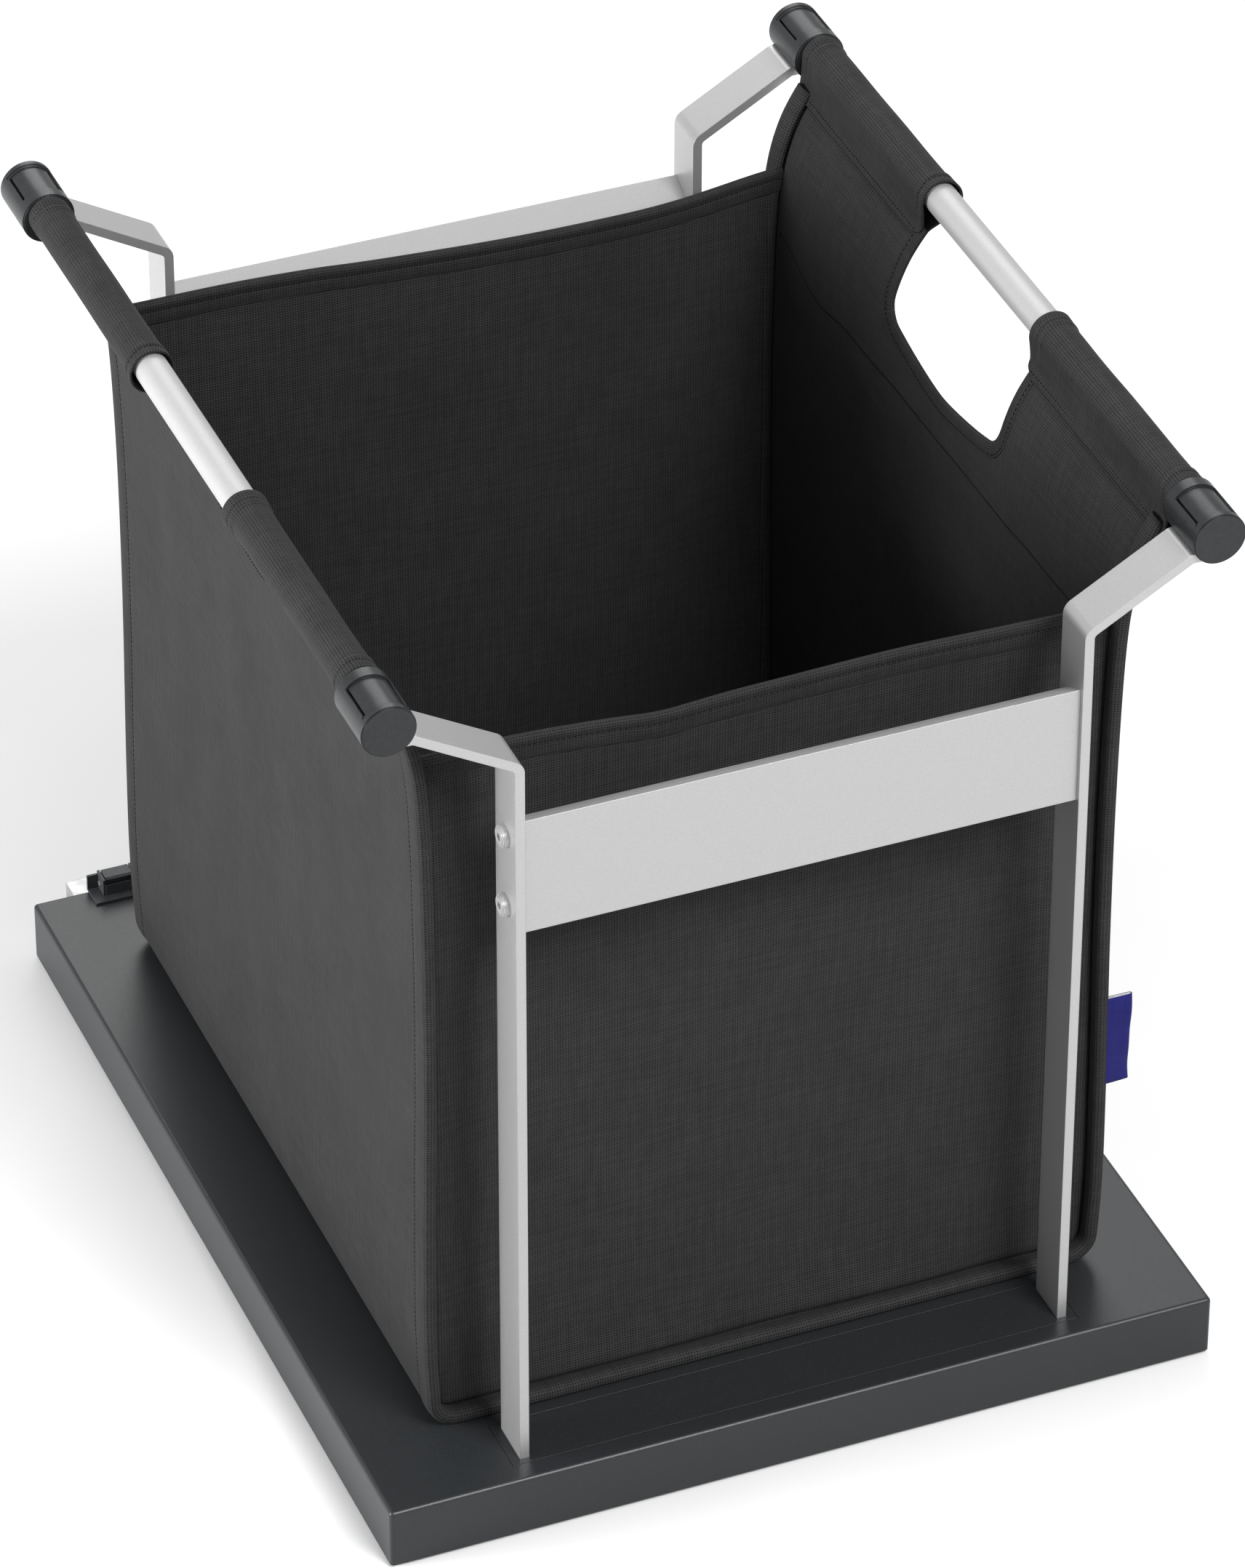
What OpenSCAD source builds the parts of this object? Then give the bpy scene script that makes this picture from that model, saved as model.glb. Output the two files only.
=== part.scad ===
// Pull-out cabinet organiser: a low tray on telescopic runners carries a flat-bar
// frame, and a fabric bag hangs from two tubes whose end caps rest on the frame's arms.
// Units are millimetres. X is the width, Y runs back into the cabinet, Z is up.

/* [Tray] */
// Width of the tray
tray_w = 400; // [300:1:600]
// Depth of the tray
tray_d = 487.4; // [400:0.1:600]
// Height of the tray's skirt
tray_h = 30; // [24:1:50]
// Thickness of the tray's deck
deck_t = 2; // [1:0.1:4]
// Thickness of the tray's skirt
skirt_t = 1.5; // [1:0.1:3]
// Radius of the tray's edges
tray_r = 2; // [1:0.1:4]
// Gap between the skirt and the cabinet floor
floor_gap = 1.5; // [1:0.1:5]

/* [Frame] */
// Distance of the posts' outer faces from the middle
post_x = 133.2; // [100:0.1:180]
// Set-back of the posts from the tray's front edge
post_y = 13.6; // [5:0.1:40]
// Width of the flat bar
bar_w = 23.1; // [15:0.1:40]
// Thickness of the flat bar
bar_t = 4.45; // [3:0.05:8]
// Outside radius of the bar's bends
bend_r = 7; // [5:0.5:12]
// Height of the knee's sharp corner above the skirt's foot
knee_z = 407.7; // [300:0.1:500]
// Rise of the arms
arm_angle = 30; // [10:1:60]
// Height of the arm seat's upper face
seat_z = 435.75; // [330:0.05:520]
// Distance of the arm's end from the middle
arm_x = 188; // [150:0.5:240]
// Height of the cross rail
rail_h = 58.2; // [30:0.1:90]
// Depth of the cross rail
rail_d = 14; // [8:0.5:25]
// Height of the cross rail's lower edge
rail_z = 318.8; // [200:0.1:400]
// Set-back of the cross rail from the posts' outer edge
rail_back = 2.4; // [0:0.1:6]

/* [Bag] */
// Half width of the bag
bag_x = 163; // [120:0.5:200]
// Set-back of the bag's rim from the tray's front edge
bag_y = 45.5; // [20:0.5:80]
// Thickness of the bag's cloth
cloth_t = 1.6; // [0.8:0.1:4]
// Radius of the bag's lower corners
bag_r = 14; // [6:0.5:40]
// Reach of the folded rim in front of the end panels
rim_d = 10.5; // [6:0.1:20]
// Thickness of the folded rim
rim_t = 2.8; // [2:0.1:6]
// Height of the hems of the end panels
hem_z = 391; // [250:1:450]
// Half length of the hand gap
hand_gap = 59.65; // [40:0.05:80]
// Distance of the hand gap's middle from the tray's front edge
hand_y = 245.35; // [240:0.05:250]

/* [Tubes and caps] */
// Distance of the tubes' axes from the middle
tube_x = 189.6; // [150:0.1:240]
// Height of the tubes' axes
tube_z = 444.9; // [330:0.05:530]
// Radius of the tubes
tube_r = 7.65; // [5:0.05:15]
// Wall of the tubes
tube_wall = 1.2; // [0.8:0.1:3]
// Radius of the end caps
cap_r = 12.4; // [9:0.1:20]
// Height of the end caps' axes
cap_z = 442.25; // [330:0.05:530]
// Length of the end caps
cap_l = 32; // [20:0.5:50]
// Set-back of the front caps from the tray's front edge
cap_y = 11.3; // [0:0.1:30]

/* [Runners] */
// Overhang of the cabinet rails behind the tray
rail_over = 15.6; // [0:0.1:40]
// Height of the cabinet rails
runner_h = 27.5; // [20:0.5:40]
// Gauge of the runner sheet
runner_t = 1.2; // [0.8:0.1:2]
// Radius of the screw holes in the rails' feet
foot_hole_r = 2.3; // [1.5:0.1:4]

/* [Part] */
// Part to show

/* [Hidden] */
$fn = 48;

total_d = tray_d + rail_over;
post_in = post_x - bar_t;
deck_z = tray_h - deck_t;
inlay_t = 1.2;
channel_z = tray_h - inlay_t - deck_t;
foot_t = 5;
bag_z = tray_h + 0.4;
bag_back = tray_d - bag_y;
screw_z = [rail_z + 10.2, rail_z + 46.2];
screw_y = rail_back + 9.2;
knee_cx = post_in + bend_r;
knee_cz = knee_z - bend_r * tan(arm_angle);
arm_rise = seat_z - bend_r * (1 - cos(arm_angle)) - (knee_cz + bend_r * cos(arm_angle));
arm_l = arm_rise / sin(arm_angle);
lip = runner_t;
web_x = 178;
lip_x = 166;
race_z = 22.65;
hole_y = [37, 453];
inlay_x = 137.7;
inlay_w = 29.4;
inlay_y = post_y - 3;

// Puts a shape measured from the tray's front edge and foot into the row's frame.
module place() {
  translate([0, -total_d / 2, floor_gap]) children();
}

// The same shape seen from the other side of the middle plane across the width.
module left() {
  mirror([1, 0, 0]) children();
}

// The same shape at the rear, for a shape that is not placed yet and for one that is.
module rear() {
  translate([0, tray_d, 0]) mirror([0, 1, 0]) children();
}
module back() {
  translate([0, -rail_over, 0]) mirror([0, 1, 0]) children();
}

// A box from one corner to another.
module block(a, b) {
  translate(a) cube(b - a);
}

// A cylinder along X.
module bar_x(x0, x1, y, z, r) {
  translate([x0, y, z]) rotate([0, 90, 0]) cylinder(h = x1 - x0, r = r);
}

// A cylinder along Y.
module bar_y(y0, y1, x, z, r) {
  translate([x, y0, z]) rotate([-90, 0, 0]) cylinder(h = y1 - y0, r = r);
}

// A cylinder along Z.
module bar_z(z0, z1, x, y, r) {
  translate([x, y, z0]) cylinder(h = z1 - z0, r = r);
}

// An outline in X and Z swept along Y.
module along_y(y0, y1) {
  translate([0, y1, 0]) rotate([90, 0, 0]) linear_extrude(y1 - y0) children();
}

// A slab with rounded upright and upper edges.
module rounded_slab(w, d, h, r) {
  x = w / 2 - r;
  block([-w / 2, r, 0], [w / 2, d - r, h - r]);
  block([-x, 0, 0], [x, d, h - r]);
  block([-x, r, 0], [x, d - r, h]);
  for (s = [-1, 1]) {
    bar_y(r, d - r, s * x, h - r, r);
    for (y = [r, d - r]) {
      bar_z(0, h - r, s * x, y, r);
      translate([s * x, y, h - r]) sphere(r);
    }
  }
  bar_x(-x, x, r, h - r, r);
  bar_x(-x, x, d - r, h - r, r);
}

// ---- Runners ----

module cabinet_rail() {
  color([0.80, 0.81, 0.82]) place() difference() {
    union() {
      block([web_x - lip, 8, -floor_gap], [web_x, total_d, runner_h - floor_gap]);
      block([lip_x, 8, runner_h - floor_gap - lip], [web_x, total_d, runner_h - floor_gap]);
      block([lip_x, 8, -floor_gap], [web_x, total_d, lip - floor_gap]);
      block([web_x - 0.1, 8, -floor_gap], [194, total_d - 30, 1 - floor_gap]);
    }
    for (y = hole_y) bar_z(-floor_gap - 1, 1, 186, y, foot_hole_r);
  }
}
module right_cabinet_rail() { cabinet_rail(); }
module left_cabinet_rail() { left() cabinet_rail(); }

module rear_tie_plate() {
  color([0.70, 0.71, 0.72]) place() difference() {
    block([-165.9, 462, -floor_gap], [165.9, 482, 1 - floor_gap]);
    for (x = [-120, 0, 120]) bar_z(-floor_gap - 1, 1, x, 472, 3);
  }
}

module end_stop() {
  color([0.10, 0.10, 0.11]) place() {
    block([167, 489, 0.5], [176.6, 499, 23.9]);
    bar_y(484, 489, 172, 12.25, 3);
  }
}
module right_end_stop() { end_stop(); }
module left_end_stop() { left() end_stop(); }

module middle_rail() {
  color([0.74, 0.75, 0.77]) place() {
    block([174.3, 12, 4], [175.5, 476, 20.5]);
    block([167.5, 12, 19.3], [175.5, 476, 20.5]);
    block([167.5, 12, 4], [175.5, 476, 5.2]);
  }
}
module right_middle_rail() { middle_rail(); }
module left_middle_rail() { left() middle_rail(); }

module cage(y0, count, x, zs, r, w) {
  for (z = zs) {
    block([x - w / 2, y0 - 6, z - 0.4], [x + w / 2, y0 + (count - 1) * 22 + 6, z + 0.4]);
    for (i = [0 : count - 1]) translate([x, y0 + i * 22, z]) sphere(r, $fn = 32);
  }
}
module outer_cage() {
  color([0.85, 0.86, 0.88]) place() cage(270, 9, 171.4, [1.85, race_z], 2.05, 7);
}
module inner_cage() {
  color([0.85, 0.86, 0.88]) place() cage(30, 9, 170.6, [6.8, 17.7], 1.5, 5);
}
module right_outer_cage() { outer_cage(); }
module left_outer_cage() { left() outer_cage(); }
module right_inner_cage() { inner_cage(); }
module left_inner_cage() { left() inner_cage(); }

module drawer_rail() {
  color([0.74, 0.75, 0.77]) place() difference() {
    union() {
      block([163.2, 10, 8.4], [164.4, 478, deck_z]);
      block([163.2, 10, 8.4], [173.6, 478, 9.6]);
      block([163.2, 10, 14.9], [173.6, 478, 16.1]);
      block([150, 10, deck_z - lip], [164.4, 478, deck_z]);
    }
    for (y = [60, 240, 430]) bar_z(deck_z - 3, deck_z + 1, 157, y, 2);
  }
}
module right_drawer_rail() { drawer_rail(); }
module left_drawer_rail() { left() drawer_rail(); }

module runner_screws() {
  color([0.75, 0.76, 0.78]) place() for (s = [-1, 1]) for (y = [60, 240, 430]) {
    bar_z(deck_z - lip - 2.4, deck_z - lip, s * 157, y, 3.6);
    bar_z(deck_z - lip, tray_h - 0.7, s * 157, y, 1.9);
  }
}

// ---- Tray ----

module inlay_shape(z0, z1, gap) {
  block([-inlay_x - gap, inlay_y - gap, z0], [inlay_x + gap, inlay_y + inlay_w + gap, z1]);
}
module post_holes(z0, z1) {
  gap = 0.15;
  for (s = [-1, 1]) {
    x0 = s > 0 ? post_in : -post_x;
    block([x0 - gap, post_y - gap, z0], [x0 + bar_t + gap, post_y + bar_w + gap, z1]);
  }
}
module tray_end_pads() {
  block([-141, inlay_y - 4, channel_z], [141, inlay_y + inlay_w + 4, deck_z + 0.1]);
}
module tray_end_cuts() {
  inlay_shape(tray_h - inlay_t, tray_h + 1, 0.3);
  post_holes(channel_z - 1, tray_h + 1);
  for (x = [-100, 0, 100]) {
    bar_z(channel_z - 1, tray_h, x, post_y + bar_w / 2, 2.6);
    bar_z(tray_h - inlay_t - 1.05, tray_h, x, post_y + bar_w / 2, 4.8);
  }
}
module base_tray() {
  inner_x = tray_w / 2 - skirt_t;
  color([0.20, 0.21, 0.22]) place() difference() {
    union() {
      difference() {
        rounded_slab(tray_w, tray_d, tray_h, tray_r);
        block([-inner_x, skirt_t, -1], [inner_x, tray_d - skirt_t, deck_z]);
      }
      tray_end_pads();
      rear() tray_end_pads();
    }
    tray_end_cuts();
    rear() tray_end_cuts();
    for (s = [-1, 1]) {
      translate([s * 178.5, tray_d, 0]) block([-19.5, -4, -1], [19.5, 4, deck_z]);
      for (y = [60, 240, 430]) bar_z(deck_z - 1, tray_h - 0.6, s * 157, y, 2);
    }
  }
}

module inlay() {
  color([0.19, 0.20, 0.21]) place() difference() {
    inlay_shape(tray_h - inlay_t, tray_h, 0);
    post_holes(tray_h - inlay_t - 1, tray_h + 1);
  }
}
module front_inlay() { inlay(); }
module rear_inlay() { back() inlay(); }

module foot_bar() {
  color([0.78, 0.79, 0.80]) place() difference() {
    block([-140, post_y, channel_z - foot_t], [140, post_y + bar_w, channel_z]);
    for (x = [-100, 0, 100]) {
      bar_z(channel_z - foot_t - 1, channel_z + 1, x, post_y + bar_w / 2, 2.5);
    }
  }
}
module front_foot_bar() { foot_bar(); }
module rear_foot_bar() { back() foot_bar(); }

module foot_screws() {
  color([0.75, 0.76, 0.78]) place() for (y = [post_y + bar_w / 2, tray_d - post_y - bar_w / 2]) {
    for (x = [-100, 0, 100]) {
      bar_z(tray_h - inlay_t - 1.05, tray_h - inlay_t, x, y, 4.6);
      bar_z(channel_z - foot_t, tray_h - inlay_t - 1.05, x, y, 2.45);
    }
  }
}

// ---- Frame ----

// Points of an arc about a line along Y, in X and Z.
function arc(cx, cz, r, a0, a1) =
  [for (i = [0 : 16]) let (a = a0 + (a1 - a0) * i / 16) [cx + r * cos(a), cz + r * sin(a)]];

// The bent bar: up, out along the arm and level again at the seat.
module post() {
  turn = 90 + arm_angle;
  seat_cx = knee_cx + arm_l * cos(arm_angle);
  seat_cz = seat_z - bend_r;
  inner_r = bend_r - bar_t;
  color([0.84, 0.85, 0.86]) place() difference() {
    along_y(post_y, post_y + bar_w) polygon(concat(
      [[post_in, channel_z]],
      arc(knee_cx, knee_cz, bend_r, 180, turn),
      arc(seat_cx, seat_cz, bend_r, turn, 90),
      [[arm_x, seat_z], [arm_x, seat_z - bar_t]],
      arc(seat_cx, seat_cz, inner_r, 90, turn),
      arc(knee_cx, knee_cz, inner_r, turn, 180),
      [[post_x, channel_z]]
    ));
    for (z = screw_z) bar_x(post_in - 1, post_x + 1, post_y + screw_y, z, 2.6);
  }
}
module front_right_post() { post(); }
module front_left_post() { left() post(); }
module rear_right_post() { back() post(); }
module rear_left_post() { left() rear_right_post(); }

// The cross rail: a hollow profile with a top that falls towards the bag.
module rail_profile(wall) {
  drop = 7.5;
  polygon([
    [wall, wall],
    [rail_d - wall, wall],
    [rail_d - wall, rail_h - drop - wall * 1.1],
    [wall, rail_h - wall * 1.7]
  ]);
}
module rail_outline() {
  polygon([[0, 0], [rail_d, 0], [rail_d, rail_h - 7.5], [0, rail_h]]);
}
module cross_rail() {
  y0 = post_y + rail_back;
  color([0.86, 0.87, 0.88]) place() difference() {
    translate([-post_in, y0, rail_z]) rotate([90, 0, 90]) linear_extrude(2 * post_in) union() {
      difference() {
        rail_outline();
        rail_profile(1.8);
      }
      for (z = screw_z) translate([9.2, z - rail_z]) circle(4.2);
    }
    for (z = screw_z) bar_x(-post_in - 1, post_in + 1, y0 + 9.2, z, 2.45);
  }
}
module front_rail() { cross_rail(); }
module rear_rail() { back() cross_rail(); }

// A pan-head screw seen from its head, along +X.
module rail_screw(y, z) {
  difference() {
    union() {
      bar_x(post_x, post_x + 2, y, z, 5.3);
      bar_x(post_x + 2, post_x + 2.7, y, z, 4.9);
      bar_x(post_x + 2.7, post_x + 3.2, y, z, 4.1);
      bar_x(post_x - 16, post_x, y, z, 2.4);
    }
    translate([post_x + 1.6, y, z]) rotate([0, 90, 0]) cylinder(h = 3, r = 1.9, $fn = 6);
  }
}
module screw_set() {
  color([0.82, 0.83, 0.84]) place() for (s = [0, 1]) mirror([s, 0, 0]) for (z = screw_z) {
    rail_screw(post_y + screw_y, z);
  }
}
module front_rail_screws() { screw_set(); }
module rear_rail_screws() { back() screw_set(); }

// ---- Catches ----

module catch_bracket() {
  color([0.09, 0.09, 0.10]) place() difference() {
    union() {
      block([142, 474, tray_h], [172, 488.4, tray_h + 1.2]);
      block([166.6, 487, tray_h + 1.2], [172, 488.4, tray_h + 8.5]);
      for (x = [149.4, 165.4]) block([x, 479, tray_h + 1.2], [x + 1.2, 488.4, tray_h + 10]);
      block([150.6, 478.6, tray_h + 1.2], [165.4, 479.6, tray_h + 6.8]);
    }
    bar_x(148, 168, 484.5, tray_h + 4.8, 1.5);
    bar_z(tray_h - 1, tray_h + 3, 145.6, 481, 1.6);
  }
}
module right_catch_bracket() { catch_bracket(); }
module left_catch_bracket() { left() catch_bracket(); }

module catch_lever() {
  color([0.24, 0.25, 0.26]) place() difference() {
    union() {
      bar_x(151.2, 164.8, 484.5, tray_h + 4.8, 2.8);
      block([151.2, 483, tray_h + 5], [164.8, 486, tray_h + 8.4]);
      translate([151.2, 0, tray_h + 8.3]) rotate([90, 0, 90]) linear_extrude(13.6)
        polygon([[480.6, 0], [488, 0], [488, 1.7], [481.2, 1.7], [479.9, 0.9]]);
    }
    bar_x(150, 166, 484.5, tray_h + 4.8, 1.5);
  }
}
module right_catch_lever() { catch_lever(); }
module left_catch_lever() { left() catch_lever(); }

module catch_pin() {
  color([0.6, 0.6, 0.62]) place() bar_x(148.9, 167.1, 484.5, tray_h + 4.8, 1.44);
}
module right_catch_pin() { catch_pin(); }
module left_catch_pin() { left() catch_pin(); }

// ---- Bag ----

// Outline of one side of the bag from the middle of the floor up to the tube,
// set in by a distance from the outer surface.
function corner(in) = [for (a = [-90 : 9 : 0])
  [bag_x - bag_r + (bag_r - in) * cos(a), bag_z + bag_r + (bag_r - in) * sin(a)]];
function flare(in) = [
  [bag_x - in, 352],
  [bag_x + 1.0 - in, 378 + in * 0.1],
  [bag_x + 4.4 - in * 0.97, 400 + in * 0.25],
  [bag_x + 10.6 - in * 0.88, 417 + in * 0.5],
  [bag_x + 18.6 - in * 0.8, 428.6 + in * 0.6]
];
function turned(list) = [for (i = [len(list) - 1 : -1 : 0]) list[i]];
module band_half(depth) {
  polygon(concat(corner(0), flare(0), turned(flare(depth)), turned(corner(depth))));
}

// The opening for a hand under the bare length of tube, with a sagging lower edge.
module hand_hole() {
  corner_y = hand_gap - 13;
  translate([bag_x - 20, hand_y, 0]) rotate([90, 0, 90]) linear_extrude(45) hull() {
    for (s = [-1, 1]) {
      translate([s * corner_y, 399.5]) circle(13, $fn = 32);
      translate([s * corner_y / 2, 384]) circle(3, $fn = 16);
    }
    translate([0, 382.5]) circle(3, $fn = 16);
    translate([-hand_gap, 434]) square([2 * hand_gap, 12]);
  }
}
module side_panel() {
  color([0.12, 0.12, 0.13]) place() difference() {
    along_y(bag_y + rim_d, bag_back - rim_d) band_half(cloth_t);
    hand_hole();
  }
}
module bag_right_panel() { side_panel(); }
module bag_left_panel() { left() side_panel(); }

module end_panel() {
  x = bag_x - cloth_t - 0.1;
  y0 = bag_y + rim_d;
  along_y(y0, y0 + cloth_t) {
    translate([-x, bag_z + bag_r]) square([2 * x, hem_z - bag_z - bag_r]);
    translate([-x + bag_r, bag_z + cloth_t + 0.1]) square([2 * (x - bag_r), bag_r]);
    for (s = [-1, 1]) {
      translate([s * (bag_x - bag_r), bag_z + bag_r]) circle(bag_r - cloth_t - 0.1);
    }
  }
  block([-150, y0 - 1, hem_z - 13], [150, y0 + cloth_t + 1, hem_z]);
}
module bag_front_panel() { color([0.10, 0.10, 0.11]) place() end_panel(); }
module bag_rear_panel() { color([0.10, 0.10, 0.11]) place() rear() end_panel(); }

module bag_bottom() {
  color([0.12, 0.12, 0.13]) place()
    block([bag_r - bag_x, bag_y + rim_d, bag_z], [bag_x - bag_r, bag_back - rim_d, bag_z + cloth_t]);
}

module bottom_board() {
  y0 = bag_y + rim_d + cloth_t + 1;
  z0 = bag_z + cloth_t + 0.1;
  color([0.14, 0.14, 0.15]) place() block([-150, y0, z0], [150, tray_d - y0, z0 + 2.4]);
}

module rim() {
  for (s = [0, 1]) mirror([s, 0, 0]) along_y(bag_y, bag_y + rim_d) band_half(rim_t);
  block([bag_r - bag_x, bag_y, bag_z], [bag_x - bag_r, bag_y + rim_d, bag_z + rim_t]);
}
module front_rim() { color([0.09, 0.09, 0.10]) place() rim(); }
module rear_rim() { color([0.09, 0.09, 0.10]) place() rear() rim(); }

// Cloth round the tube, sewn to the side panel along a seam below it.
module sleeve(y0, y1) {
  color([0.13, 0.13, 0.14]) place() difference() {
    along_y(y0, y1) hull() {
      translate([tube_x, tube_z]) circle(tube_r + 1.3);
      translate([tube_x - 7.3, tube_z - 13.6]) circle(0.9, $fn = 16);
    }
    bar_y(y0 - 1, y1 + 1, tube_x, tube_z, tube_r + 0.15);
  }
}
module right_front_sleeve() { sleeve(cap_y + cap_l + 0.6, hand_y - hand_gap); }
module right_rear_sleeve() { sleeve(hand_y + hand_gap, tray_d - cap_y - cap_l - 0.6); }
module left_front_sleeve() { left() right_front_sleeve(); }
module left_rear_sleeve() { left() right_rear_sleeve(); }

module label() {
  x0 = bag_x + 0.1;
  color([0.08, 0.08, 0.45]) place() difference() {
    block([x0, bag_y + 0.4, 131], [x0 + 12.4, bag_y + 2.6, 179]);
    block([x0 - 1, bag_y + 0.9, 130], [x0 + 11.9, bag_y + 2.1, 180]);
  }
}

// ---- Tubes and caps ----

module tube() {
  y0 = cap_y + cap_l - 5.5;
  color([0.84, 0.85, 0.86]) place() difference() {
    bar_y(y0, tray_d - y0, tube_x, tube_z, tube_r);
    bar_y(y0 - 1, tray_d - y0 + 1, tube_x, tube_z, tube_r - tube_wall);
  }
}
module right_tube() { tube(); }
module left_tube() { left() tube(); }

// A sector of a ring about the cap's axis, opening upwards.
module top_ring(y0, y1, r0, r1, a0, a1) {
  translate([tube_x, y1, cap_z]) rotate([90, 0, 0]) rotate([0, 0, a0])
    rotate_extrude(angle = a1 - a0, $fn = 96) translate([r0, 0]) square([r1 - r0, y1 - y0]);
}
module cap() {
  y1 = cap_y + cap_l;
  spigot_r = tube_r - tube_wall - 0.1;
  color([0.26, 0.27, 0.29]) place() {
    difference() {
      union() {
        bar_y(cap_y + 0.6, y1 - 0.5, tube_x, cap_z, cap_r);
        bar_y(cap_y, y1, tube_x, cap_z, cap_r - 0.6);
      }
      bar_y(y1 - 5.6, y1 + 1, tube_x, tube_z, tube_r + 0.05);
      block([tube_x - 20, post_y - 0.2, 400],
            [arm_x + 0.4, post_y + bar_w + 0.2, seat_z + 0.02]);
      top_ring(cap_y + 4.5, y1 - 6.5, 11.3, 14, 40, 140);
      for (a = [37.5, 138]) top_ring(cap_y + 4.6, y1 - 6.6, 9.6, 14.5, a, a + 4.5);
      top_ring(cap_y + 3.2, cap_y + 4.7, 11.9, 13.5, 34, 146);
    }
    bar_y(y1 - 6, y1 + 12, tube_x, tube_z, spigot_r);
  }
}
module front_right_cap() { cap(); }
module front_left_cap() { left() cap(); }
module rear_right_cap() { back() cap(); }
module rear_left_cap() { left() rear_right_cap(); }

left_cabinet_rail();
right_cabinet_rail();
rear_tie_plate();
left_end_stop();
right_end_stop();
left_middle_rail();
right_middle_rail();
left_outer_cage();
right_outer_cage();
left_inner_cage();
right_inner_cage();
left_drawer_rail();
right_drawer_rail();
runner_screws();
base_tray();
front_inlay();
rear_inlay();
front_foot_bar();
rear_foot_bar();
foot_screws();
front_left_post();
front_right_post();
rear_left_post();
rear_right_post();
front_rail();
rear_rail();
front_rail_screws();
rear_rail_screws();
left_catch_bracket();
right_catch_bracket();
left_catch_lever();
right_catch_lever();
left_catch_pin();
right_catch_pin();
bag_left_panel();
bag_right_panel();
bag_front_panel();
bag_rear_panel();
bag_bottom();
bottom_board();
front_rim();
rear_rim();
left_front_sleeve();
left_rear_sleeve();
right_front_sleeve();
right_rear_sleeve();
left_tube();
right_tube();
front_left_cap();
front_right_cap();
rear_left_cap();
rear_right_cap();
label();
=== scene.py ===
import bmesh
import bpy
import math
import numpy as np
from mathutils import Euler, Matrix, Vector, noise


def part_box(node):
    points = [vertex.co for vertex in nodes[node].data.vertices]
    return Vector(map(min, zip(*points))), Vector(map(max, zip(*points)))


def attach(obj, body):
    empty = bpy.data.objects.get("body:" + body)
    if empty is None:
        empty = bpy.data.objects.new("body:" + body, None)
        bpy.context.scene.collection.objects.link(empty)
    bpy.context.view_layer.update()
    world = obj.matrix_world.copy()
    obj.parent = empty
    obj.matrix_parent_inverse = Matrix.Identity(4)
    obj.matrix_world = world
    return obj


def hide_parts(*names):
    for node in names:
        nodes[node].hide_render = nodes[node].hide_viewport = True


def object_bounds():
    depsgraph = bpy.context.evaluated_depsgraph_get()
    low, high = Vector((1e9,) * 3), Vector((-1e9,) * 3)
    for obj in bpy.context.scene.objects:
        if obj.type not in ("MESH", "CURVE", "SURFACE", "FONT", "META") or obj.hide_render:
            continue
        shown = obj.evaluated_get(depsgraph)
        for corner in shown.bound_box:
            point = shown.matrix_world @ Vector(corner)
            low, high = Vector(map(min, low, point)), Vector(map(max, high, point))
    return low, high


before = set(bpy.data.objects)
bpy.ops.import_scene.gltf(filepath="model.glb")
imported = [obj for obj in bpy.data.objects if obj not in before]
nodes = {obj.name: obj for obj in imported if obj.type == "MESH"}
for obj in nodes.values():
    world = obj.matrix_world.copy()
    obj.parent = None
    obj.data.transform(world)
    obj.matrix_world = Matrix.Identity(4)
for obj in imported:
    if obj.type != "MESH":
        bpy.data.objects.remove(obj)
cad_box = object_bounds()
scene = bpy.context.scene
MM = 0.001
CLOTH_UV = "weave"
FLOOR_CLEARANCE = 0.2 * MM

# ---- Camera and studio ----

LIGHT_AIM = (0, 0, 0.2)


def make_camera():
    data = bpy.data.cameras.new("camera")
    data.sensor_width = 36
    data.lens = 188.58
    camera = bpy.data.objects.new("camera", data)
    camera.location = (-1.1438, -2.8338, 2.4046)
    camera.rotation_euler = Euler([math.radians(angle) for angle in (54.27, -0.09, -22.13)])
    scene.collection.objects.link(camera)
    scene.camera = camera


def area_light(name, place, size, power):
    """A round lamp that points at the middle of the object."""
    data = bpy.data.lights.new(name, "AREA")
    data.shape = "DISK"
    data.size = size
    data.energy = power
    lamp = bpy.data.objects.new(name, data)
    lamp.location = place
    lamp.rotation_euler = (Vector(LIGHT_AIM) - Vector(place)).to_track_quat("-Z", "Y").to_euler()
    scene.collection.objects.link(lamp)


def make_studio():
    world = bpy.data.worlds.new("studio")
    world.use_nodes = True
    background = world.node_tree.nodes["Background"]
    background.inputs["Color"].default_value = (1.0, 1.0, 1.0, 1.0)
    background.inputs["Strength"].default_value = 0.7
    scene.world = world
    scene.view_settings.view_transform = "Standard"

    mesh = bpy.data.meshes.new("floor")
    build = bmesh.new()
    bmesh.ops.create_circle(build, cap_ends=True, segments=96, radius=9)
    build.to_mesh(mesh)
    build.free()
    floor = bpy.data.objects.new("floor", mesh)
    floor.location.z = cad_box[0].z - FLOOR_CLEARANCE
    scene.collection.objects.link(floor)
    finish = Finish("floor_paint", roughness=0.9)
    finish.colour(finish.mottle((0.61, 0.61, 0.61), (0.64, 0.64, 0.64), scale=3))
    mesh.materials.append(finish.material)

    area_light("left", (-2.75, 0.35, 0.72), size=1.2, power=132)
    area_light("front", (0.7, -2.4, 2.8), size=1.6, power=165)
    area_light("back", (0.7, 2.7, 2.3), size=2.2, power=42)


# ---- Finishes ----


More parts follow.
